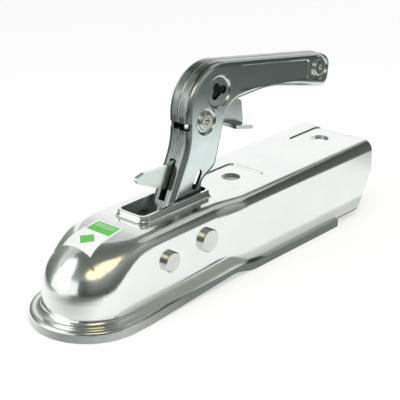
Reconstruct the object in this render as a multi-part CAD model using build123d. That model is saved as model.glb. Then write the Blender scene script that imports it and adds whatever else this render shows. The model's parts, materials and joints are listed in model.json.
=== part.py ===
"""Trailer coupling head: a pressed steel housing for a 50 mm tow ball, with a two-shell handle,
a ball jaw linked to it and a sprung safety lever. Millimetres, +Z up, +X towards the nose, +Y to
the left, origin at the centre of the ball."""
from build123d import *
import math
import os

# Ball socket and pressed sheet
ball_d = 50.0               # tow ball
socket_clearance = 1.0      # ball to the inside of the dome
sheet = 4.0                 # housing sheet thickness
crown_flat = 0.05           # half width of the flat at the top, where the nose starts to square up
nose_step = 0.06            # the squared-up part starts this far inside the round nose

# Housing, lengths measured back from the ball centre
drawbar_w = 60.0            # square tube that slides into the rear channel
top_z = 32.0                # flat top of the channel
channel_corner_r = 7.0
neck_corner_r = 8.0
blend_front_x = 14.0        # in front of the ball centre, where the round nose starts to square up
neck_x = 30.0               # it has become a rounded channel
flare_start_x = 85.0        # neck starts to widen
flare_end_x = 112.0
rear_x = 251.0
wall_bottom_z = -16.0
rear_cut_z = 10.5           # lower rear corner is cut away on a slant
rear_cut_x = 14.5
rear_cut_r = 6.0
blend_steps = 8             # sections along each smooth change of form

# Flange and lip round the bottom
base_z = -20.5
nose_flange_r = 38.4
lip_half = 36.2             # half width across the lip behind the nose
front_lip_h = 7.5
rear_lip_h = 6.0
front_root_r = 4.0          # round between wall and flange
front_rim_r = 2.5           # round on the flange's outer edge
rear_root_r = 1.0
rear_rim_r = 0.9
root_bite = 0.08            # the round meets the wall this far inside its face
lip_rise = 4.2              # front lip climbs towards the joggle
rise_start_x = 12.0
joggle_front_x = 95.0
joggle_rear_x = 118.0
rear_lip_end_x = 209.0

# Top of the housing: bolt holes in shallow seats, collar round the handle slot
hole_d = 13.0
hole_spacing = 100.0
rear_hole_margin = 18.0     # rear hole to the rear edge
seat_l = 36.6
seat_w = 31.0
seat_depth = 0.8
seat_r = 4.0
seat_edge_r = 0.6
collar_h = 4.3
collar_wall = 2.2
collar_front_x = 34.5
collar_rear_x = 100.0
collar_r = 6.0
collar_base_r = 2.5
collar_rim_r = 0.7

# Handle: two pressed shells that meet on the middle plane
handle_w = 18.0
handle_sheet = 2.0
handle_edge_r = 4.0
seam_r = 1.2                # where the two shells meet
slot_clearance = 1.6        # handle side to the collar
grip_end_x = 232.0
handle_top_z = 123.6        # grip's top line where it meets the leg's front line
grip_drop = 26.2            # fall of the grip's top line along its length
leg_front_x = 80.9
front_slot_half = 2.7
front_slot_low_z = 35.5
front_slot_high_z = 60.5
notch_low_z = 79.5
notch_high_z = 84.0
notch_depth = 3.5
dimple_depth = 1.5
dimple_flare = 2.4
dimple_r = 7.5              # under the rivets' heads
keyhole_dimple_r = 9.5
boss_rim = 1.0              # pressed wall round a dimple

# Corners of the handle's side outline: x, z and the corner's radius
knee = (-leg_front_x, 70.0, 40.0)
crook_r = 30.0
grip_end_r = 9.0
grip_tail = (-229.0, 73.4, 7.0)
grip_hollow = (-165.0, 89.4, 110.0)
inner_bend = (-120.6, 88.2, 16.0)
calf = (-108.5, 48.5, 7.0)
ankle = (-95.4, 41.5, 4.0)
slot_rear = (-94.6, 21.0, 5.0)
foot_reach = 17.0           # pivot to the foot's front corner
foot_rise = 8.5
foot_r = 6.0
heel_margin = 7.0           # metal round the spring seat
toe_margin = 7.5            # metal round the link pin

# Rear of the shells, open for the lever: x and z
rear_opening = [(-86, 20), (-122, 20), (-122, 70), (-147, 80), (-147, 93), (-118, 93), (-104, 62), (-88, 42)]
open_foot_z = 24.0          # shells have no edge walls below this

# Panel pressed into the grip's sides
panel_depth = 0.6
panel_slope = 55.0          # degrees, of the panel's edges
panel_front_x = 131.0
panel_rear_x = 205.5
panel_margin = 2.6          # from the grip's top line
panel_low_z = 85.0
panel_front_z = 94.5
panel_r = 3.0

# Openings in the handle's sides
keyhole_at = (-110.5, 99.0)
keyhole_r = 4.0
lobe_r = 3.1
lobes = [(65, 2.9), (178, 5.7), (-45, 3.1)]     # direction in degrees and reach of each lobe
leaf_at = (-88.9, 44.8)
leaf_l = 14.0
leaf_w = 5.0
leaf_slope = 122.0

# Pivots, (x, z)
handle_pivot = (-75.0, 13.5)
jaw_pivot = (-40.0, 11.0)
lever_pivot = (-98.2, 82.1)
grip_rivet_at = (-217.5, 90.5)
handle_swing = 20.0         # degrees
handle_arm = 17.6           # handle pivot to its link pin
jaw_arm = 22.0              # jaw pivot to its link pin
pin_d = 10.0
pivot_fit = 0.05            # running clearance on the radius
face_gap = 0.3              # running clearance between flat faces
handle_pin_head_d = 15.5
jaw_pin_head_d = 13.5
pin_head_h = 3.3
pin_head_chamfer = 0.7
bush_wall = 3.0

# Link between handle and jaw
link_t = 6.0
link_eye_r = 7.0
link_pin_d = 8.0
link_play = 0.15            # on the radius at the jaw's end, where the two arms differ most

# Ball jaw
jaw_w = 36.0
jaw_hub_r = 9.0
jaw_ball_gap = 0.4
jaw_low_z = -17.0
jaw_front_x = 17.0
jaw_front_z = -6.0          # top of the flat front
jaw_shoulder = (-24.0, 12.0)
jaw_heel = (6.0, 5.0)       # slope at the lower rear edge
jaw_slot_room = 3.0         # round the link's eye

# Safety lever and its rivets
lever_t = 3.0
lever_rivet_d = 6.0
lever_rivet_head_d = 12.5
rivet_head_h = 2.2
rivet_round = 1.6
rivet_hollow_d = 4.6
rivet_hollow_h = 1.8
lever_sleeve_wall = 1.3
trigger_foot_w = 10.0
trigger_foot_t = 2.5
trigger_drop = 4.2          # fall of the foot along its length
grip_rivet_d = 6.0
grip_rivet_head_d = 12.5
grip_spacer_wall = 1.5

# Corners of the lever: x, z and the corner's radius
fin_root = (-72.0, 57.8, 1.0)
fin_brow = (-48.5, 59.2, 2.0)
fin_tip = (-40.8, 57.4, 1.2)
fin_chin = (-43.2, 53.4, 2.0)
fin_belly = (-64.0, 44.0, 20.0)
arm_foot = (-77.0, 40.5, 3.0)
arm_rear = (-89.0, 52.0, 6.0)
hub_rear = (-104.5, 74.0, 4.0)
trigger_front = (-126.4, 72.0, 1.0)
trigger_rear = (-143.6, trigger_front[1] - trigger_drop, 1.0)
trigger_top = (-141.4, 84.5, 3.0)
hub_top_rear = (-122.0, 91.5, 5.0)
hub_top = (-93.0, 91.5, 6.0)
arm_front = (-83.0, 62.0, 3.0)

# Springs
closing_wire_d = 1.8
closing_coil_d = 11.0
closing_turns = 6
spring_seat_at = (-108.0, 0.0)
spring_seat_d = 8.0
spring_spigot_h = 4.0
spring_collar_t = 1.5
spring_end_gap = 0.2
lever_wire_d = 0.9
lever_coil_gap = 0.4
lever_turns = 2
lever_spring_reach = 9.1    # rivet to the hole that takes the spring's end

# Worked out from the above
socket_r = ball_d / 2 + socket_clearance
dome_r = socket_r + sheet
channel_half = drawbar_w / 2 + sheet
rear_hole_x = -rear_x + rear_hole_margin
front_hole_x = rear_hole_x + hole_spacing
handle_half = handle_w / 2
web_inner = handle_half - handle_sheet
slot_half = handle_half + slot_clearance
boss_inner = web_inner - dimple_depth
neck_inner = dome_r - sheet
pin_r = pin_d / 2
lever_spring_hole = (lever_pivot[0] + lever_spring_reach, lever_pivot[1])
cut = 60.0                  # longer than anything it cuts
over = 1.0                  # a cutter, or a search for edges, reaches this far past a face
near = 0.01                 # tolerance when edges are picked by their place

SIDE = Plane(origin=(0, 0, 0), x_dir=(1, 0, 0), z_dir=(0, -1, 0))


def slab(sketch, y0, y1):
    """Solid of a side-view sketch between two planes across the part."""
    return Pos(0, y1, 0) * extrude(SIDE * sketch, amount=y1 - y0)


def polygon(points):
    """Face with straight edges."""
    return make_face([Polyline(points, close=True)])


def rounded(corners):
    """Face with rounded corners, each given by its place and radius."""
    points = [corner[:2] for corner in corners]
    radii = [corner[2] for corner in corners]
    return make_face([FilletPolyline(points, radius=radii, close=True)])


def rod(at, radius, y0, y1):
    """Round bar across the part, about a point of the side view."""
    return Pos(at[0], (y0 + y1) / 2, at[1]) * Rot(90, 0, 0) * Cylinder(radius, y1 - y0)


def tube(at, outer, inner, y0, y1):
    """Round tube across the part."""
    return rod(at, outer, y0, y1) - rod(at, inner, y0 - over, y1 + over)


def polar(at, length, degrees):
    """Point at a distance and angle from another, in the side view."""
    angle = math.radians(degrees)
    return (at[0] + length * math.cos(angle), at[1] + length * math.sin(angle))


def ease(share):
    """Smooth change from 0 to 1."""
    return share * share * (3 - 2 * share)


def steps(start, end):
    """Evenly spaced stations of a smooth change of form."""
    return [start + (end - start) * i / blend_steps for i in range(blend_steps + 1)]


# Link pins: at half the swing both arms stand square to the link, so that the two turn together
link_ratio = handle_arm / jaw_arm
pivot_dx = jaw_pivot[0] - handle_pivot[0]
pivot_dz = jaw_pivot[1] - handle_pivot[1]
pivot_distance = math.hypot(pivot_dx, pivot_dz)
square_angle = math.degrees(math.atan2(pivot_dz, pivot_dx)
                            - math.acos((handle_arm - jaw_arm) / pivot_distance))
handle_link_at = polar(handle_pivot, handle_arm, square_angle + handle_swing / 2)
jaw_link_at = polar(jaw_pivot, jaw_arm, square_angle + handle_swing * link_ratio / 2)


def arch(x, half, top, corner, bottom):
    """Upright section of the housing at x: straight sides and a rounded top."""
    plane = Plane(origin=(x, 0, 0), x_dir=(0, 1, 0), z_dir=(1, 0, 0))
    left = Line((half, bottom), (half, top - corner))
    left_arc = TangentArc((half, top - corner), (half - corner, top), tangent=(0, 1))
    crown = Line((half - corner, top), (corner - half, top))
    right_arc = TangentArc((corner - half, top), (-half, top - corner), tangent=(-1, 0))
    right = Line((-half, top - corner), (-half, bottom))
    floor = Line((-half, bottom), (half, bottom))
    return plane * make_face([left, left_arc, crown, right_arc, right, floor])


def half_arch(half, bottom):
    """Half of the nose's section, to turn about the ball's upright axis."""
    plane = Plane(origin=(0, 0, 0), x_dir=(0, -1, 0), z_dir=(-1, 0, 0))
    floor = Line((0, bottom), (half, bottom))
    side = Line((half, bottom), (half, 0))
    arc = TangentArc((half, 0), (0, half), tangent=(0, 1))
    axis = Line((0, half), (0, bottom))
    return plane * make_face([floor, side, arc, axis])


def nose_section(x, inset, bottom):
    """Section where the round nose turns into the neck."""
    share = (x + neck_x) / (blend_front_x + neck_x)
    half = math.sqrt((dome_r - inset) ** 2 - max(x, 0) ** 2) - nose_step * share
    top = half + (top_z - dome_r) * ease(1 - share)
    neck_corner = neck_corner_r - inset
    corner = neck_corner + (half - crown_flat - neck_corner) * ease(share) ** 2
    return arch(x, half, top, corner, bottom)


def wall_half(x):
    """Half width over the walls behind the nose, through the flare."""
    share = (-x - flare_start_x) / (flare_end_x - flare_start_x)
    return dome_r + (channel_half - dome_r) * ease(min(max(share, 0), 1))


def flare_section(x, inset, bottom):
    """Section where the neck widens to the channel."""
    share = (wall_half(x) - dome_r) / (channel_half - dome_r)
    corner = neck_corner_r + (channel_corner_r - neck_corner_r) * share
    return arch(x, wall_half(x) - inset, top_z - inset, corner - inset, bottom)


def housing_form(inset, bottom, rear):
    """The housing's outer form, or its hollow when inset by the sheet."""
    front = Pos(blend_front_x + cut, 0, 0) * Box(2 * cut, 2 * cut, 4 * cut)
    form = revolve(half_arch(dome_r - inset, bottom), Axis.Z, 180) & front
    form += loft([nose_section(x, inset, bottom) for x in steps(blend_front_x, -neck_x)])
    flare_in = flare_section(-flare_start_x, inset, bottom)
    flare_out = flare_section(-flare_end_x, inset, bottom)
    form += loft([nose_section(-neck_x, inset, bottom), flare_in], ruled=True)
    form += loft([flare_section(x, inset, bottom) for x in steps(-flare_start_x, -flare_end_x)])
    form += loft([flare_out, flare_section(-rear, inset, bottom)], ruled=True)
    return form


def lip_section(x, outer, low, height, root_r, rim_r):
    """Left half of the flange's section: lip, rounded rim, flat, and the round up to the wall."""
    plane = Plane(origin=(x, 0, low), x_dir=(0, 1, 0), z_dir=(1, 0, 0))
    wall = wall_half(x) - root_bite
    inner = wall - sheet - over
    rim = TangentArc((outer, height - rim_r), (outer - rim_r, height), tangent=(0, 1))
    flat = Line((outer - rim_r, height), (wall + root_r, height))
    root = TangentArc((wall + root_r, height), (wall, height + root_r), tangent=(-1, 0))
    under = Polyline((wall, height + root_r), (inner, height + root_r), (inner, height - sheet),
                     (outer - sheet, height - sheet), (outer - sheet, 0), (outer, 0), (outer, height - rim_r))
    return plane * make_face([rim, flat, root, under])


def front_lip(x, outer, low):
    """Flange section in front of the joggle."""
    return lip_section(x, outer, low, front_lip_h, front_root_r, front_rim_r)


def joggle_lip(share):
    """Flange section on its way down to the rear lip."""
    x = -joggle_front_x - (joggle_rear_x - joggle_front_x) * share
    eased = ease(share)
    height = front_lip_h + (rear_lip_h - front_lip_h) * eased
    root_r = front_root_r + (rear_root_r - front_root_r) * eased
    rim_r = front_rim_r + (rear_rim_r - front_rim_r) * eased
    return lip_section(x, lip_half, base_z + lip_rise * (1 - eased), height, root_r, rim_r)


def flange():
    """Flange and turned-down lip: round nose, climbing sides, joggle and straight rear."""
    at_nose = front_lip(0, nose_flange_r, base_z)
    at_rise = front_lip(-rise_start_x, nose_flange_r, base_z)
    at_joggle = joggle_lip(0)
    side = loft([at_nose, at_rise], ruled=True) + loft([at_rise, at_joggle], ruled=True)
    side += loft([joggle_lip(share) for share in steps(0, 1)])
    at_rear = lip_section(-rear_lip_end_x, lip_half, base_z, rear_lip_h, rear_root_r, rear_rim_r)
    side += loft([joggle_lip(1), at_rear], ruled=True)
    return revolve(mirror(at_nose, Plane.XZ), Axis.Z, 180) + side + mirror(side, Plane.XZ)


def collar_outline(margin):
    """Plan outline of the handle slot, grown by a margin."""
    length = collar_rear_x - collar_front_x - 2 * collar_wall + 2 * margin
    width = 2 * (slot_half + margin)
    middle = -(collar_front_x + collar_rear_x) / 2
    return Pos(middle, 0) * RectangleRounded(length, width, collar_r - collar_wall + margin)


def edges_round(body, z, x0, x1, half):
    """Edges at one height within a plan rectangle."""
    level = body.edges().filter_by_position(Axis.Z, z - near, z + near)
    return [edge for edge in level if abs(edge.center().Y) <= half + near and x0 < edge.center().X < x1]


def housing():
    """One pressing: dome, neck, channel, flange, collar, bolt seats and pin holes."""
    body = housing_form(0, wall_bottom_z, rear_x)
    body += extrude(Pos(0, 0, top_z - sheet) * collar_outline(collar_wall), amount=sheet + collar_h)
    collar_half = slot_half + collar_wall
    for z, radius in ((top_z, collar_base_r), (top_z + collar_h, collar_rim_r)):
        body = fillet(edges_round(body, z, -collar_rear_x - over, over - collar_front_x, collar_half), radius)
    for x in (front_hole_x, rear_hole_x):
        seat = Pos(x, 0, top_z - seat_depth) * RectangleRounded(seat_l, seat_w, seat_r)
        body -= extrude(seat, amount=2 * seat_depth)
        body = fillet(edges_round(body, top_z, x - seat_l, x + seat_l, seat_w / 2), seat_edge_r)
        body -= Pos(x, 0, top_z) * Cylinder(hole_d / 2, 3 * sheet)
    body += flange()
    body -= housing_form(sheet, base_z - cut, rear_x + cut)
    body -= extrude(collar_outline(0), amount=cut)
    slant = [(-rear_x - cut, rear_cut_z), (-rear_x, rear_cut_z), (-rear_x + rear_cut_x, wall_bottom_z),
             (-rear_x + rear_cut_x, wall_bottom_z - cut), (-rear_x - cut, wall_bottom_z - cut)]
    body -= slab(polygon(slant), -cut, cut)
    across = body.edges().filter_by(Axis.Y)
    low = across.filter_by_position(Axis.Z, wall_bottom_z - near, wall_bottom_z + near)
    body = fillet(low.sort_by(Axis.X)[:2], rear_cut_r)
    for at in (handle_pivot, jaw_pivot):
        body -= rod(at, pin_r, -cut, cut)
    return body


def pivot_pin(at, head_d):
    """Pin riveted over both side walls, with a flat head on each."""
    pin = rod(at, pin_r, -dome_r, dome_r)
    for side in (-1, 1):
        low = min(side * dome_r, side * (dome_r + pin_head_h))
        head = rod(at, head_d / 2, low, low + pin_head_h)
        rim = head.edges().filter_by(GeomType.CIRCLE).sort_by(Axis.Y)
        pin += chamfer(rim[-1] if side > 0 else rim[0], pin_head_chamfer)
    return pin


def grip_top(x):
    """Height of the grip's sloping top line."""
    return handle_top_z + grip_drop * (x + leg_front_x) / (grip_end_x - leg_front_x)


def handle_outline():
    """Side outline of the handle: pivot end, leg, bend, grip and hollowed rear edge."""
    foot = (handle_pivot[0] + foot_reach, handle_pivot[1] + foot_rise, foot_r)
    crook = (-leg_front_x, handle_top_z, crook_r)
    grip_end = (-grip_end_x, grip_top(-grip_end_x), grip_end_r)
    heel_x = spring_seat_at[0] - heel_margin
    heel_top = (heel_x, spring_seat_at[1] + heel_margin, foot_r)
    heel_low = (heel_x, spring_seat_at[1] - heel_margin, foot_r)
    toe = (handle_link_at[0] + toe_margin, handle_link_at[1] - toe_margin, foot_r)
    return rounded([foot, knee, crook, grip_end, grip_tail, grip_hollow, inner_bend, calf, ankle,
                    slot_rear, heel_top, heel_low, toe])


def keyhole():
    """Opening of three round lobes."""
    opening = Pos(keyhole_at) * Circle(keyhole_r)
    for turn, reach in lobes:
        opening += Pos(polar(keyhole_at, reach, turn)) * Circle(lobe_r)
    return opening


def grip_panel():
    """Recess in the grip's side, its top edge along the grip's top line."""
    front = -panel_front_x
    rear = -panel_rear_x
    return rounded([(front, grip_top(front) - panel_margin, panel_r),
                    (rear, grip_top(rear) - panel_margin, panel_r),
                    (rear, panel_low_z, panel_r), (front, panel_front_z, panel_r)])


def dimple(at, radius):
    """Round dish with soft edges, pressed into the outside of the left shell."""
    plane = Plane(origin=(at[0], handle_half, at[1]), x_dir=(1, 0, 0), z_dir=(0, 0, 1))
    deep = (radius, -dimple_depth)
    rim = (radius + dimple_flare, dimple_depth / 4)
    edge = Spline(deep, rim, tangents=[(1, 0), (dimple_flare, dimple_depth / 2)])
    rest = Polyline(rim, (0, rim[1]), (0, deep[1]), deep)
    return revolve(plane * make_face([edge, rest]), Axis((at[0], handle_half, at[1]), (0, 1, 0)))


def edges_across(body, y):
    """Edges that lie on one upright plane along the part."""
    return body.edges().filter_by_position(Axis.Y, y - near, y + near)


def handle_shell():
    """Left half of the handle, its open side on the middle plane."""
    outline = handle_outline()
    shell = slab(outline, 0, handle_half)
    shell = fillet(edges_across(shell, handle_half), handle_edge_r)
    shell = fillet(edges_across(shell, 0), seam_r)
    hollow = slab(offset(outline, -handle_sheet), -over, web_inner)
    shell -= fillet(edges_across(hollow, web_inner), handle_edge_r - handle_sheet)
    foot_low = handle_link_at[1] - cut
    pivot_end = [(handle_pivot[0] - cut, foot_low), (handle_pivot[0] + cut, foot_low),
                 (handle_pivot[0] + cut, open_foot_z), (handle_pivot[0] - cut, open_foot_z)]
    for open_side in (pivot_end, rear_opening):
        shell -= slab(polygon(open_side), -over, web_inner)
    slot_deep = -leg_front_x - 2 * handle_sheet
    slot = [(slot_deep + cut, front_slot_low_z), (slot_deep + cut, front_slot_high_z),
            (slot_deep, front_slot_high_z), (slot_deep, front_slot_low_z)]
    shell -= slab(polygon(slot), -over, front_slot_half)
    notch = Rectangle(2 * notch_depth, notch_high_z - notch_low_z)
    shell -= slab(Pos(-leg_front_x, (notch_low_z + notch_high_z) / 2) * notch, -over, handle_half + over)
    shell -= Pos(0, handle_half, 0) * extrude(SIDE * grip_panel(), amount=panel_depth, taper=panel_slope)
    bosses = ((lever_pivot, dimple_r), (grip_rivet_at, dimple_r), (keyhole_at, keyhole_dimple_r))
    for at, radius in bosses:
        shell += rod(at, radius + boss_rim, boss_inner, web_inner + panel_depth)
    for at, radius in bosses:
        shell -= dimple(at, radius)
    shell -= slab(keyhole(), 0, handle_half)
    leaf = Pos(leaf_at) * Rot(0, 0, leaf_slope) * SlotOverall(leaf_l, leaf_w)
    shell -= slab(leaf, 0, handle_half + over)
    shell -= rod(lever_spring_hole, lever_wire_d, 0, handle_half + over)
    shell -= rod(handle_pivot, pin_r + pivot_fit, 0, cut)
    for at, hole in ((handle_link_at, link_pin_d), (spring_seat_at, spring_seat_d),
                     (lever_pivot, lever_rivet_d), (grip_rivet_at, grip_rivet_d)):
        shell -= rod(at, hole / 2, 0, cut)
    return shell


def handle_rivet(at, shank_d, head_d):
    """Rivet through both shells, its round hollowed heads sitting in the dimples."""
    seat_y = handle_half - dimple_depth
    head_y = seat_y + rivet_head_h
    rivet = rod(at, shank_d / 2, -seat_y, seat_y)
    for side in (-1, 1):
        low = min(side * seat_y, side * head_y)
        head = rod(at, head_d / 2, low, low + rivet_head_h)
        rim = head.edges().filter_by(GeomType.CIRCLE).sort_by(Axis.Y)
        rivet += fillet(rim[-1] if side > 0 else rim[0], rivet_round)
        deep = min(side * (head_y - rivet_hollow_h), side * head_y)
        rivet -= rod(at, rivet_hollow_d / 2, deep, deep + rivet_hollow_h)
    return rivet


def safety_lever():
    """Stamped lever: front fin, long arm, hub and finger trigger with a bent foot."""
    plate = rounded([fin_root, fin_brow, fin_tip, fin_chin, fin_belly, arm_foot, arm_rear, hub_rear,
                     trigger_front, trigger_rear, trigger_top, hub_top_rear, hub_top, arm_front])
    blade = slab(plate, -lever_t / 2, lever_t / 2)
    front = trigger_front[:2]
    rear = trigger_rear[:2]
    foot = [front, rear, (rear[0], rear[1] - trigger_foot_t), (front[0], front[1] - trigger_foot_t)]
    blade += slab(polygon(foot), -lever_t / 2, trigger_foot_w)
    return blade - rod(lever_pivot, lever_rivet_d / 2 + pivot_fit, -cut, cut)


def ball_jaw():
    """Jaw behind the ball: hub on its pin, ball-shaped face and a slot for the link."""
    rear = jaw_link_at[0] - link_eye_r
    outline = [(rear, jaw_pivot[1]), (rear, jaw_low_z + jaw_heel[1]), (rear + jaw_heel[0], jaw_low_z),
               (-jaw_front_x, jaw_low_z), (-jaw_front_x, jaw_front_z), jaw_shoulder,
               (jaw_pivot[0], jaw_pivot[1] + jaw_hub_r), jaw_pivot]
    half = jaw_w / 2
    jaw = slab(polygon(outline), -half, half)
    jaw += rod(jaw_pivot, jaw_hub_r, -half, half)
    jaw -= Sphere(ball_d / 2 + jaw_ball_gap)
    slot_l = 2 * (2 * link_eye_r + jaw_slot_room)
    slot_w = link_t + 2 * face_gap
    slot_h = 2 * (link_eye_r + jaw_slot_room)
    jaw -= Pos(rear, 0, jaw_link_at[1]) * Box(slot_l, slot_w, slot_h)
    jaw -= rod(jaw_pivot, pin_r + pivot_fit, -cut, cut)
    jaw -= rod(jaw_link_at, link_pin_d / 2, -half, half)
    return jaw


def jaw_link():
    """Flat link with an eye at each end."""
    run_x = jaw_link_at[0] - handle_link_at[0]
    run_z = jaw_link_at[1] - handle_link_at[1]
    middle = ((jaw_link_at[0] + handle_link_at[0]) / 2, (jaw_link_at[1] + handle_link_at[1]) / 2)
    slope = math.degrees(math.atan2(run_z, run_x))
    bar = Pos(middle) * Rot(0, 0, slope) * SlotCenterToCenter(math.hypot(run_x, run_z), 2 * link_eye_r)
    link = slab(bar, -link_t / 2, link_t / 2)
    for at, play in ((handle_link_at, pivot_fit), (jaw_link_at, link_play)):
        link -= rod(at, link_pin_d / 2 + play, -cut, cut)
    return link


def link_washers():
    """Washers that centre the link between the handle's shells."""
    outer = link_pin_d / 2 + bush_wall
    gap = link_t / 2 + face_gap
    left = tube(handle_link_at, outer, link_pin_d / 2, gap, web_inner)
    return [left, mirror(left, Plane.XZ)]


def spring_seat():
    """Cross bar riveted into both shells, with a spigot for the closing spring."""
    bar = rod(spring_seat_at, spring_seat_d / 2, -handle_half, handle_half)
    spigot_r = closing_coil_d / 2 - closing_wire_d - face_gap
    spigot_h = spring_seat_d / 2 + spring_spigot_h
    bar += Pos(spring_seat_at[0], 0, spring_seat_at[1] + spigot_h / 2) * Cylinder(spigot_r, spigot_h)
    collar_z = spring_seat_at[1] + (spring_seat_d - spring_collar_t) / 2
    return bar + Pos(spring_seat_at[0], 0, collar_z) * Cylinder(closing_coil_d / 2, spring_collar_t)


def closing_spring():
    """Compression spring from the handle's seat up to the underside of the housing."""
    low = spring_seat_at[1] + spring_seat_d / 2 + spring_end_gap + closing_wire_d / 2
    high = top_z - sheet - spring_end_gap - closing_wire_d / 2
    coil_r = (closing_coil_d - closing_wire_d) / 2
    path = Helix((high - low) / closing_turns, high - low, coil_r)
    section = Plane(path @ 0, z_dir=path % 0) * Circle(closing_wire_d / 2)
    return Pos(spring_seat_at[0], 0, low) * sweep(section, path, is_frenet=True)


def lever_spring():
    """Torsion spring round the left sleeve, one end in the shell, one on the lever."""
    sleeve_r = lever_rivet_d / 2 + pivot_fit + lever_sleeve_wall
    coil_r = sleeve_r + lever_coil_gap + lever_wire_d / 2
    low = lever_t / 2 + face_gap + lever_wire_d / 2
    high = boss_inner - face_gap - lever_wire_d / 2
    path = Helix((high - low) / lever_turns, high - low, coil_r)
    section = Plane(path @ 0, z_dir=path % 0) * Circle(lever_wire_d / 2)
    coil = sweep(section, path, is_frenet=True)
    spring = Pos(lever_pivot[0], low, lever_pivot[1]) * Rot(-90, 0, 0) * coil
    middle = (coil_r + lever_spring_reach) / 2
    for y in (low, high):
        leg = Rot(0, 90, 0) * Cylinder(lever_wire_d / 2, lever_spring_reach - coil_r)
        spring += Pos(lever_pivot[0] + middle, y, lever_pivot[1]) * leg
    return spring + rod(lever_spring_hole, lever_wire_d / 2, high - lever_wire_d / 2, handle_half)


def build():
    """Every sub-part by its node name."""
    left = handle_shell()
    half_jaw = jaw_w / 2
    sleeve_in = lever_rivet_d / 2
    sleeve_out = sleeve_in + pivot_fit + lever_sleeve_wall
    bush_out = pin_r + pivot_fit + bush_wall
    handle_spacer = tube(handle_pivot, bush_out, pin_r, handle_half + face_gap, neck_inner)
    jaw_spacer = tube(jaw_pivot, bush_out, pin_r, half_jaw + face_gap, neck_inner)
    sleeve = tube(lever_pivot, sleeve_out, sleeve_in, lever_t / 2 + face_gap, boss_inner)
    return {
        "housing": housing(),
        "handle_left_shell": left,
        "handle_right_shell": mirror(left, Plane.XZ),
        "grip_rivet": handle_rivet(grip_rivet_at, grip_rivet_d, grip_rivet_head_d),
        "grip_spacer": tube(grip_rivet_at, grip_rivet_d / 2 + grip_spacer_wall, grip_rivet_d / 2,
                            -boss_inner, boss_inner),
        "lever_rivet": handle_rivet(lever_pivot, lever_rivet_d, lever_rivet_head_d),
        "lever_sleeve_left": sleeve,
        "lever_sleeve_right": mirror(sleeve, Plane.XZ),
        "safety_lever": safety_lever(),
        "lever_spring": lever_spring(),
        "handle_pivot_pin": pivot_pin(handle_pivot, handle_pin_head_d),
        "handle_pivot_bush": tube(handle_pivot, bush_out, pin_r + pivot_fit, -web_inner, web_inner),
        "handle_spacer_left": handle_spacer,
        "handle_spacer_right": mirror(handle_spacer, Plane.XZ),
        "jaw_pivot_pin": pivot_pin(jaw_pivot, jaw_pin_head_d),
        "jaw_spacer_left": jaw_spacer,
        "jaw_spacer_right": mirror(jaw_spacer, Plane.XZ),
        "ball_jaw": ball_jaw(),
        "jaw_link": jaw_link(),
        "handle_link_pin": rod(handle_link_at, link_pin_d / 2, -handle_half, handle_half),
        "jaw_link_pin": rod(jaw_link_at, link_pin_d / 2, -half_jaw, half_jaw),
        "link_washers": Compound(link_washers()),
        "spring_seat": spring_seat(),
        "closing_spring": closing_spring(),
    }


os.makedirs("parts", exist_ok=True)
for name, shape in build().items():
    export_step(shape, os.path.join("parts", name + ".step"))
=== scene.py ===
"""Trailer coupling head in bright zinc plating on a white studio floor.

Metres and degrees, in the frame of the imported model.
"""
import json
import math

import bmesh
import bpy
from mathutils import Matrix, Vector


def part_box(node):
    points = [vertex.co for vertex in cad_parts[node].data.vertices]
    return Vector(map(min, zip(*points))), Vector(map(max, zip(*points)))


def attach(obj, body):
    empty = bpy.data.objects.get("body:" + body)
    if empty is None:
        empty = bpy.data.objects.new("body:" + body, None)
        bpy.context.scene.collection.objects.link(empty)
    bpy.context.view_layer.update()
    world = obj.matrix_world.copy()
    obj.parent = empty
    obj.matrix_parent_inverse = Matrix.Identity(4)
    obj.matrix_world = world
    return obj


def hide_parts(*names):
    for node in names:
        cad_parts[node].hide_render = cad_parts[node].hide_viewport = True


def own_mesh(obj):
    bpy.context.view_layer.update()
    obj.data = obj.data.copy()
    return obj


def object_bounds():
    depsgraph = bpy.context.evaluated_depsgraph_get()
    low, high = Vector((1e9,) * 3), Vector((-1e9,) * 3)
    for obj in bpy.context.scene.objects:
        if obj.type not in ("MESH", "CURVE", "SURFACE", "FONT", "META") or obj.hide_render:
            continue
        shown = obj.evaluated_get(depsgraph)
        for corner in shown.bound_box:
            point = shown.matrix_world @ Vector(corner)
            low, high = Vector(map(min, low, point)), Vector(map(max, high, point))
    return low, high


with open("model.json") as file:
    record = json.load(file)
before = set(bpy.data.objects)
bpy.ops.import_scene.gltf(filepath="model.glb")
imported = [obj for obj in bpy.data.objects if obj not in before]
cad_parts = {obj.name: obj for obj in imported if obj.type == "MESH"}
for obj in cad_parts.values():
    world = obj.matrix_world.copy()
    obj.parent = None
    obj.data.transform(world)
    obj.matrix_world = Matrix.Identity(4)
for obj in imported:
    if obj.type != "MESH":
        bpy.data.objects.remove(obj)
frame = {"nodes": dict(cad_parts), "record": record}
cad_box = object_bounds()
nodes = frame["nodes"]
white = (1.0, 1.0, 1.0)

# Camera, as the photograph was taken
camera_at = Vector((0.4835, 0.5242, 0.3581))
camera_azimuth = 41.85      # from +X towards +Y
camera_height = 23.04       # above the horizon
camera_roll = -0.15
camera_lens = 115.9         # mm
camera_sensor = 36.0        # mm
camera_reach = 20.0

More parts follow.
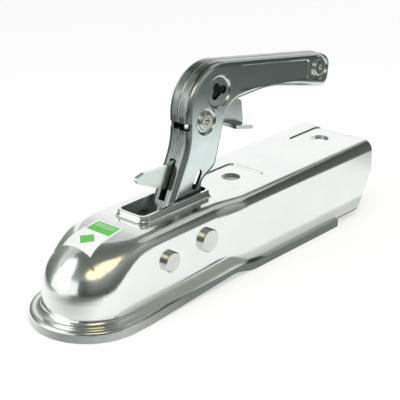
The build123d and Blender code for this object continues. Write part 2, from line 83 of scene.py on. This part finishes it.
# Finish of each material slot: bright and dull colour, roughness, then scale and strength of the peel
finishes = {
    "housing_zinc": ((0.90, 0.92, 0.90), (0.86, 0.885, 0.865), 0.165, 520.0, 0.08),
    "handle_zinc": ((0.77, 0.86, 0.85), (0.70, 0.79, 0.78), 0.17, 520.0, 0.06),
    "rivet_zinc": ((0.74, 0.76, 0.72), (0.62, 0.64, 0.60), 0.22, 1400.0, 0.12),
    "lever_zinc": ((0.80, 0.88, 0.85), (0.70, 0.78, 0.75), 0.22, 1200.0, 0.10),
    "inner_steel": ((0.64, 0.66, 0.65), (0.52, 0.54, 0.53), 0.34, 1500.0, 0.12),
    "jaw_iron": ((0.46, 0.47, 0.46), (0.36, 0.37, 0.36), 0.46, 700.0, 0.30),
    "spring_steel": ((0.52, 0.52, 0.50), (0.42, 0.42, 0.41), 0.32, 2200.0, 0.08),
}
cloud_scale, cloud_detail = 38.0, 4.0    # clouds of colour
cloud_stops = (0.30, 0.68)               # noise at the dull and at the bright colour
gloss_scale, gloss_detail = 90.0, 3.0    # patches of softer gloss
gloss_stretch = (1.0, 2.5, 2.5)
gloss_times = (0.9, 1.12)                # least and most of the roughness
peel_depth = 0.0004

# Housing: sheared lower edge of the flange, dull, and darker still as painted shade and painted dark
# reflection
edge_top = -0.0150                       # height up to which it reaches
edge_blur = 0.0003
edge_climb = 0.0024                      # it reaches this much higher along the side
edge_climb_rear = (-0.128, -0.114)       # x over which it climbs
edge_climb_front = (-0.03, 0.0)          # x over which it comes down again
edge_ends = (-0.110, 0.038)              # x at its rear and its front
# How dark the edge is from rear to front: wear with painted dark reflection
edge_wear_and_shade = ((0.0, 1.0), (0.40, 0.95), (0.60, 0.78), (0.80, 0.55), (1.0, 0.80))  # rear to front
edge_pale = 0.70                         # share of the dark edge, wear and painted shade, that the nose's right side lacks
edge_pale_x = (-0.03, 0.01)
edge_pale_y = (-0.012, 0.012)
edge_colour = (0.16, 0.19, 0.17, 1.0)
edge_rough = 0.20                        # added to the roughness
# Housing: satin bend above that edge, from the nose rearwards
satin_z = (-0.0085, -0.005)
satin_x = (-0.03, 0.015)
satin_rough = 0.55
# Housing: dull inside and cut rear end, both darker also as painted shade
housing_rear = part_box("housing")[0][0]
inside_turn = (-0.010, -0.006)           # outward sum of a face that looks inwards
cut_end = (0.0003, 0.0006)               # from the rear end
dull_shaded_colour = (0.62, 0.66, 0.64, 1.0)
dull_rough = 0.18

# Handle shells: painted dark reflection on the bends and other faces that don't look sideways, and a bare
# inside darkened further as painted shade
side_facing = (0.30, 0.85)               # how far a face looks sideways, on a bend and on the flat
bend_shade_colour = (0.235, 0.255, 0.245, 1.0)
inward_turn = (-0.004, -0.0015)
bare_shaded_colour = (0.05, 0.055, 0.055, 1.0)
bare_rough = 0.3

# Label on the crown of the nose: corners seen from above, rear right first, then round to the front right
label_corners = ((-0.0226, -0.0142), (-0.0236, 0.0072), (0.0102, 0.0122), (0.0098, -0.0127))
label_cells = 32
label_lift = 0.00015        # film's outer face above the plating
label_film = 0.00012
label_above = 0.1           # height from which it is laid down
label_green = (0.11, 0.45, 0.08)
label_white = (0.76, 0.77, 0.75)
paper_clouds = (260.0, 0.94)    # scale, and share of the colour that is left in the clouds
ink_clouds = (320.0, 0.88)
print_stops = (0.35, 0.65)      # noise at the dimmed and at the full colour
print_detail = 3.0
film_scale = 400.0              # patches of softer gloss
film_rough = (0.38, 0.50)
relief_scale, relief_strength, relief_depth = 700.0, 0.05, 0.0002
# Its print, in shares of its width from the middle and of its length from the rear
field_half = 0.43
field_ends = (0.05, 0.40)
line_places = (0.12, 0.19)
line_half, line_thin = 0.36, 0.012
line_pale = 0.6
diamond_place = 0.69
diamond_half = (0.27, 0.19)

# Floor
floor_z = cad_box[0][2]
floor_size = 8.0
floor_colour = (0.93, 0.93, 0.93, 1.0)
floor_rough = 0.8
floor_glow = 0.5            # share of the floor that shows plain white, in the object's shadow too
floor_far = (0.4, 1.1)      # from here to here it grows to the whole, away from the shadow

# Dark cloth on the floor
cloth_size = 3.0
cloth_lift = 0.0005
cloth_gap = ((-0.305, 0.03), 0.17)   # the floor stays white between these x and up to this y
cloth_cover = ((0.0, 0.04), (0.02, 0.28), (0.04, 0.56), (0.06, 0.78), (0.085, 0.93), (0.40, 1.0))
cloth_slant = (-0.18, 0.35)          # of its far border, in front of the ball and behind it
cloth_border = (-0.12, 0.0)          # y over which it begins
cloth_patch = (0.13, -0.18)          # a loose piece of it, in front of the handle's leg
patch_cover = 0.80
patch_reach = (0.05, 0.13)
cloth_shade = (0.105, 0.12, 0.11, 1.0)

# Screens beside the object: points of the footprint, with the shade at the foot and at the top
right_screen = ((0.53, 0.17, 0.10, 0.18), (0.44, 0.30, 0.03, 0.16), (0.20, 0.48, 0.045, 0.38),
                (-0.04, 0.50, 0.07, 0.32), (-0.27, 0.30, 0.22, 0.50), (-0.36, 0.22, 0.115, 0.04),
                (-0.62, -0.02, 0.115, 0.06))
right_screen_top = 0.36
left_screen = ((-0.10, -0.20, 0.24, 0.50), (0.02, -0.20, 0.10, 0.32), (0.12, -0.24, 0.12, 0.36),
               (0.20, -0.26, 0.30, 0.70))
left_screen_top = 0.15
screen_tint = (0.94, 1.0, 0.93)

# Studio walls: colours by the sine of the height above the horizon
sky_white = 1.05
sky_shades = ((0.0, white), (0.44, white), (0.53, (0.30, 0.33, 0.31)), (0.75, (0.20, 0.22, 0.20)),
              (1.0, (0.13, 0.14, 0.13)))


def back_vector(azimuth, height):
    """Unit vector from the object towards a viewer."""
    a = math.radians(azimuth)
    h = math.radians(height)
    return Vector((math.cos(a) * math.cos(h), math.sin(a) * math.cos(h), math.sin(h)))


def facing_turn(azimuth, height, roll):
    """Turn of a camera or lamp that looks along a back vector."""
    turn = back_vector(azimuth, height).to_track_quat("Z", "Y").to_matrix().to_4x4()
    return turn @ Matrix.Rotation(math.radians(roll), 4, "Z")


def link_object(name, data):
    """New object in the scene."""
    obj = bpy.data.objects.new(name, data)
    bpy.context.scene.collection.objects.link(obj)
    return obj


def make_camera():
    """Camera at the photograph's place, with its lens."""
    data = bpy.data.cameras.new("camera")
    data.lens = camera_lens
    data.sensor_width = camera_sensor
    data.sensor_fit = "HORIZONTAL"
    data.clip_end = camera_reach
    camera = link_object("camera", data)
    turn = facing_turn(camera_azimuth, camera_height, camera_roll)
    camera.matrix_world = Matrix.Translation(camera_at) @ turn
    bpy.context.scene.camera = camera


class Nodes:
    """Short way to add shader nodes to a tree."""

    def __init__(self, tree):
        self.tree = tree

    def add(self, kind, inputs=(), **settings):
        """A node with its settings and its inputs, which are values or other nodes' sockets."""
        node = self.tree.nodes.new("ShaderNode" + kind)
        for key, value in settings.items():
            setattr(node, key, value)
        for key, value in dict(inputs).items():
            self.put(node.inputs[key], value)
        return node

    def put(self, socket, value):
        """Links a socket or sets a value."""
        if isinstance(value, bpy.types.NodeSocket):
            self.tree.links.new(value, socket)
        else:
            socket.default_value = value

    def principled(self):
        """The shader that a new material starts with."""
        return self.tree.nodes["Principled BSDF"]

    def show(self, shader):
        """Puts a shader on the surface."""
        self.put(self.tree.nodes["Material Output"].inputs["Surface"], shader.outputs[0])

    def blend_surface(self, share, first, second):
        """Surface between two shaders."""
        self.show(self.add("MixShader", {0: share, 1: first.outputs[0], 2: second.outputs[0]}))

    def ramp(self, source, *stops):
        """Colour ramp through (place, colour) stops."""
        node = self.add("ValToRGB", {"Fac": source})
        elements = node.color_ramp.elements
        while len(elements) < len(stops):
            elements.new(0.5)
        for element, (place, colour) in zip(elements, stops):
            element.position = place
            element.color = (*colour, 1.0)
        return node.outputs["Color"]

    def greys(self, source, stops):
        """Ramp through (place, grey) stops."""
        return self.ramp(source, *[(place, (grey,) * 3) for place, grey in stops])

    def noise(self, scale, detail=2.0, stretch=(1.0, 1.0, 1.0)):
        """Noise in the object's own metres, stretched along an axis where asked."""
        place = self.add("TexCoord").outputs["Object"]
        mapping = self.add("Mapping", {"Vector": place, "Scale": stretch})
        node = self.add("TexNoise", {"Vector": mapping.outputs["Vector"], "Scale": scale, "Detail": detail})
        return node.outputs["Fac"]

    def spread(self, source, low, high, start=0.3, end=0.7):
        """A value between start and end turned into one from low to high."""
        node = self.add("MapRange", {"Value": source, "From Min": start, "From Max": end,
                                     "To Min": low, "To Max": high})
        return node.outputs["Result"]

    def math(self, operation, first, second=0.0):
        """One sum of two values, or of the first alone."""
        node = self.add("Math", {0: first, 1: second}, operation=operation)
        return node.outputs["Value"]

    def off(self, value, middle):
        """How far a value is from another."""
        return self.math("ABSOLUTE", self.math("SUBTRACT", value, middle))

    def length(self, first, second):
        """Length of a line from its reach along two axes."""
        squares = [self.math("MULTIPLY", reach, reach) for reach in (first, second)]
        return self.math("SQRT", self.math("ADD", *squares))

    def raised(self, value, share, step):
        """A value with a share of a step added to it."""
        return self.math("ADD", value, self.math("MULTIPLY", share, step))

    def mix(self, share, first, second):
        """Colour between two."""
        node = self.add("Mix", {"Factor": share, 6: first, 7: second}, data_type="RGBA")
        return node.outputs[2]

    def bump(self, height, strength, distance):
        """Surface direction over a fine relief."""
        node = self.add("Bump", {"Height": height, "Strength": strength, "Distance": distance})
        return node.outputs["Normal"]

    def normal(self):
        """The surface's direction, as its three numbers."""
        facing = self.add("TexCoord").outputs["Normal"]
        return self.add("SeparateXYZ", {"Vector": facing}).outputs

    def position(self):
        """The place on the surface, as its three numbers."""
        place = self.add("TexCoord").outputs["Object"]
        return self.add("SeparateXYZ", {"Vector": place}).outputs


def new_material(name):
    """Material with its node helper."""
    material = bpy.data.materials.new(name)
    material.use_nodes = True
    return material, Nodes(material.node_tree)


def housing_finish_and_shade(n, colour, gloss):
    """Housing: dull sheared lower edge darkened by painted shade and painted dark reflection, satin bend
    above it, dull inside and cut rear end darkened also as painted shade.
    """
    x, y, z = n.position()
    # Lower edge: dull sheared steel, darker still as painted shade and painted dark reflection
    climb = n.math("MINIMUM", n.spread(x, edge_climb, 0.0, *edge_climb_front),
                   n.spread(x, 0.0, edge_climb, *edge_climb_rear))
    height = n.math("SUBTRACT", z, climb)
    low = n.spread(height, 1.0, 0.0, edge_top - edge_blur, edge_top + edge_blur)
    along = n.greys(n.spread(x, 0.0, 1.0, *edge_ends), edge_wear_and_shade)
    nose_right = n.math("MULTIPLY", n.spread(x, 0.0, 1.0, *edge_pale_x),
                        n.spread(y, edge_pale, 0.0, *edge_pale_y))
    finish_and_shade = n.math("SUBTRACT", along, n.math("MULTIPLY", along, nose_right))
    worn_and_shaded = n.math("MULTIPLY", low, finish_and_shade)
    colour = n.mix(worn_and_shaded, colour, edge_colour)
    gloss = n.raised(gloss, worn_and_shaded, edge_rough)
    bend = n.math("SUBTRACT", n.spread(z, 1.0, 0.0, *satin_z), low)
    satin = n.math("MULTIPLY", n.math("MAXIMUM", bend, 0.0), n.spread(x, 1.0, 0.0, *satin_x))
    gloss = n.raised(gloss, satin, satin_rough)
    # Inside faces and the cut rear end: dull steel, darker also as painted shade
    facing = n.normal()
    out_front = n.math("MULTIPLY", facing[0], n.math("MAXIMUM", x, 0.0))
    out_side = n.math("MULTIPLY", facing[1], y)
    out_up = n.math("MULTIPLY", facing[2], n.math("SUBTRACT", z, floor_z))
    outward = n.math("ADD", out_front, n.math("ADD", out_side, out_up))
    inside = n.spread(outward, 1.0, 0.0, *inside_turn)
    rear = n.spread(x, 1.0, 0.0, *[housing_rear + reach for reach in cut_end])
    dull = n.math("MAXIMUM", inside, rear)
    return n.mix(dull, colour, dull_shaded_colour), n.raised(gloss, dull, dull_rough)


def handle_shade_and_bare(n, colour, gloss):
    """Handle shells: painted dark reflection in grey on the faces that don't look sideways, and a bare
    inside darkened as painted shade.
    """
    facing = n.normal()[1]
    side = n.spread(n.math("ABSOLUTE", facing), 0.0, 1.0, *side_facing)
    # Faces that don't look sideways take a darker grey: painted dark reflection
    bend_shaded = n.mix(side, bend_shade_colour, colour)
    # Faces that look into the hollow: bare steel, nearly black as painted shade
    inward = n.spread(n.math("MULTIPLY", facing, n.position()[1]), 1.0, 0.0, *inward_turn)
    return n.mix(inward, bend_shaded, bare_shaded_colour), n.raised(gloss, inward, bare_rough)


def zinc(name, bright, dull, rough, grain, peel, finish_and_shade=None):
    """Plated or bare metal: cloudy colour, patches of softer gloss and a faint orange-peel surface."""
    material, n = new_material(name)
    shader = n.principled().inputs
    colour = n.ramp(n.noise(cloud_scale, cloud_detail), *zip(cloud_stops, (dull, bright)))
    least, most = [rough * times for times in gloss_times]
    gloss = n.spread(n.noise(gloss_scale, gloss_detail, gloss_stretch), least, most)
    # Added finish and painted shade, where the slot has them
    if finish_and_shade:
        colour, gloss = finish_and_shade(n, colour, gloss)
    n.put(shader["Base Color"], colour)
    n.put(shader["Roughness"], gloss)
    n.put(shader["Metallic"], 1.0)
    n.put(shader["Normal"], n.bump(n.noise(grain), peel, peel_depth))
    return material


def paint_nodes():
    """A finish for every CAD node, by its material slot."""
    finish_and_shade = {"housing_zinc": housing_finish_and_shade, "handle_zinc": handle_shade_and_bare}
    metals = {slot: zinc(slot, *finish, finish_and_shade.get(slot)) for slot, finish in finishes.items()}
    for part in frame["record"]["subparts"]:
        mesh = nodes[part["node"]].data
        mesh.materials.clear()
        mesh.materials.append(metals[part["material_slot"]])


def cloudy(n, scale, dim, colour):
    """A print colour with dimmer clouds in it."""
    dimmed = tuple(dim * c for c in colour)
    return n.ramp(n.noise(scale, print_detail), *zip(print_stops, (dimmed, colour)))


def label_material():
    """Printed film: white, with a green field, two pale lines in it and a small solid diamond."""
    material, n = new_material("label_film")
    shader = n.principled().inputs
    u, v = n.add("SeparateXYZ", {"Vector": n.add("UVMap").outputs["UV"]}).outputs[:2]
    across = n.off(u, 0.5)
    field_rear, field_front = field_ends
    field = n.math("MULTIPLY", n.math("GREATER_THAN", v, field_rear), n.math("LESS_THAN", v, field_front))
    field = n.math("MULTIPLY", field, n.math("LESS_THAN", across, field_half))
    for line in line_places:
        thin = n.math("LESS_THAN", n.off(v, line), line_thin)
        pale = n.math("MULTIPLY", thin, n.math("LESS_THAN", across, line_half))
        field = n.math("SUBTRACT", field, n.math("MULTIPLY", pale, line_pale))
    wide, long = diamond_half
    reach = n.math("ADD", n.math("DIVIDE", across, wide), n.math("DIVIDE", n.off(v, diamond_place), long))
    printed = n.math("MAXIMUM", field, n.math("LESS_THAN", reach, 1.0))
    paper = cloudy(n, *paper_clouds, label_white)
    ink = cloudy(n, *ink_clouds, label_green)
    n.put(shader["Base Color"], n.mix(printed, paper, ink))
    n.put(shader["Roughness"], n.spread(n.noise(film_scale), *film_rough))
    n.put(shader["Normal"], n.bump(n.noise(relief_scale), relief_strength, relief_depth))
    return material


def make_label():
    """Thin film laid on the crown of the nose, following its curve."""
    housing = nodes["housing"]
    rear_right, rear_left, front_left, front_right = [Vector((*corner, 0.0)) for corner in label_corners]
    above = Vector((0, 0, label_above))
    down = Vector((0, 0, -1))
    mesh = bpy.data.meshes.new("label")
    shape = bmesh.new()
    uv = shape.loops.layers.uv.new("UVMap")
    grid = []
    for i in range(label_cells + 1):
        along = i / label_cells
        right = rear_right.lerp(front_right, along)
        left = rear_left.lerp(front_left, along)
        row = []
        for j in range(label_cells + 1):
            point = right.lerp(left, j / label_cells)
            place, normal = housing.ray_cast(point + above, down)[1:3]
            row.append(shape.verts.new(place + normal * label_lift))
        grid.append(row)
    for i in range(label_cells):
        for j in range(label_cells):
            corners = ((i, j), (i + 1, j), (i + 1, j + 1), (i, j + 1))
            face = shape.faces.new([grid[a][b] for a, b in corners])
            face.smooth = True
            for loop, (a, b) in zip(face.loops, corners):
                loop[uv].uv = (b / label_cells, a / label_cells)
    shape.normal_update()
    shape.to_mesh(mesh)
    shape.free()
    label = link_object("label", mesh)
    solid = label.modifiers.new("film", "SOLIDIFY")
    solid.thickness = label_film
    solid.offset = -1.0
    mesh.materials.append(label_material())
    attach(label, "housing")


def make_coil():
    """Closing spring that stands for the CAD one, as a copy of its mesh fixed to the housing."""
    coil = link_object("closing_coil", nodes["closing_spring"].data.copy())
    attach(coil, "housing")
    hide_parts("closing_spring")
    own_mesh(coil)


def make_floor():
    """White floor that keeps the object's shadow."""
    bpy.ops.mesh.primitive_plane_add(size=floor_size, location=(0, 0, floor_z))
    floor = bpy.context.object
    floor.name = "floor"
    material, n = new_material("floor_white")
    plain = n.principled()
    n.put(plain.inputs["Base Color"], floor_colour)
    n.put(plain.inputs["Roughness"], floor_rough)
    path = n.add("LightPath").outputs
    mirrored = n.math("MAXIMUM", path["Is Glossy Ray"], path["Is Transmission Ray"])
    seen = n.math("MAXIMUM", path["Is Camera Ray"], mirrored)
    glow = n.add("Emission", {"Color": (*white, 1.0), "Strength": 1.0})
    away = n.length(*n.position()[:2])
    share = n.math("MULTIPLY", seen, n.spread(away, floor_glow, 1.0, *floor_far))
    n.blend_surface(share, plain, glow)
    floor.data.materials.append(material)


def make_cloth():
    """Dark cloth on the floor round a white strip, on the viewer's side, which only reflections show."""
    bpy.ops.mesh.primitive_plane_add(size=cloth_size)
    cloth = bpy.context.object
    cloth.name = "cloth"
    cloth.location.z = floor_z + cloth_lift
    material, n = new_material("cloth")
    x, y = n.position()[:2]
    (gap_rear, gap_front), gap_left = cloth_gap
    off_middle = n.off(x, (gap_rear + gap_front) / 2)
    beyond = n.math("MAXIMUM", n.math("SUBTRACT", off_middle, (gap_front - gap_rear) / 2), 0.0)
    aside = n.math("MAXIMUM", n.math("SUBTRACT", y, gap_left), 0.0)
    cover = n.greys(n.length(beyond, aside), cloth_cover)
    slant_front, slant_rear = cloth_slant
    front = n.math("MULTIPLY", n.math("MAXIMUM", x, 0.0), slant_front)
    rear = n.math("MULTIPLY", n.math("MINIMUM", x, 0.0), slant_rear)
    near_side = n.spread(n.math("ADD", y, n.math("ADD", front, rear)), 0.0, 1.0, *cloth_border)
    off_patch = n.length(*[n.math("SUBTRACT", place, at) for place, at in zip((x, y), cloth_patch)])
    patch = n.spread(off_patch, patch_cover, 0.0, *patch_reach)
    glow = n.add("Emission", {"Color": cloth_shade})
    share = n.math("MAXIMUM", n.math("MULTIPLY", cover, near_side), patch)
    n.blend_surface(share, n.add("BsdfTransparent"), glow)
    cloth.data.materials.append(material)
    hide_from_camera(cloth)


def hide_from_camera(obj):
    """Leaves an object to mirror-like reflections alone."""
    obj.visible_camera = False
    obj.visible_diffuse = False
    obj.visible_shadow = False


def make_screen(name, footprint, top):
    """Dark screen standing beside the object, which only its reflections show."""
    mesh = bpy.data.meshes.new(name)
    count = len(footprint)
    points = [(*point[:2], z) for z in (floor_z, top) for point in footprint]
    faces = [(i, i + 1, count + i + 1, count + i) for i in range(count - 1)]
    mesh.from_pydata(points, [], faces)
    shades = [point[end] for end in (2, 3) for point in footprint]
    layer = mesh.color_attributes.new("shade", "FLOAT_COLOR", "POINT")
    for item, shade in zip(layer.data, shades):
        item.color = (*(shade * c for c in screen_tint), 1.0)
    screen = link_object(name, mesh)
    material, n = new_material(name)
    shade = n.add("VertexColor", layer_name="shade").outputs["Color"]
    n.show(n.add("Emission", {"Color": shade}))
    mesh.materials.append(material)
    hide_from_camera(screen)


def make_world():
    """Studio walls: white up to about 26 degrees above the horizon, dim overhead."""
    world = bpy.data.worlds.new("studio")
    world.use_nodes = True
    bpy.context.scene.world = world
    n = Nodes(world.node_tree)
    direction = n.add("TexCoord").outputs["Generated"]
    height = n.add("SeparateXYZ", {"Vector": direction}).outputs["Z"]
    background = world.node_tree.nodes["Background"]
    n.put(background.inputs["Color"], n.ramp(height, *sky_shades))
    n.put(background.inputs["Strength"], sky_white)


def make_lamp(name, azimuth, height, distance, size, watts,
              colour=white, shape="ELLIPSE", lean=0.0, mirrored=True):
    """Soft lamp aimed at the object, with or without its own reflection."""
    data = bpy.data.lights.new(name, "AREA")
    data.shape = shape
    data.size, data.size_y = size
    data.energy = watts
    data.color = colour
    lamp = link_object(name, data)
    place = Matrix.Translation(back_vector(azimuth, height) * distance)
    lamp.matrix_world = place @ facing_turn(azimuth, height, lean)
    lamp.visible_glossy = mirrored


make_camera()
paint_nodes()
make_label()
make_coil()
make_floor()
make_cloth()
make_screen("right_screen", right_screen, right_screen_top)
make_screen("left_screen", left_screen, left_screen_top)
make_world()
make_lamp("key", azimuth=100.0, height=75.0, distance=1.6, size=(1.6, 1.6), watts=22.5,
          shape="RECTANGLE", mirrored=False)
make_lamp("left_softbox", azimuth=-30.0, height=36.0, distance=0.9, size=(0.60, 1.15), watts=1.80,
          lean=18.0)
make_lamp("left_fill", azimuth=-82.0, height=42.0, distance=0.9, size=(0.60, 0.66), watts=0.36)
make_lamp("warm_panel", azimuth=57.0, height=46.0, distance=0.7, size=(0.40, 0.32), watts=0.40,
          colour=(1.0, 0.82, 0.50))
make_lamp("rear_panel", azimuth=168.0, height=50.0, distance=0.9, size=(0.55, 0.40), watts=0.19,
          colour=(1.0, 0.98, 0.92))
bpy.context.scene.view_settings.view_transform = "Standard"
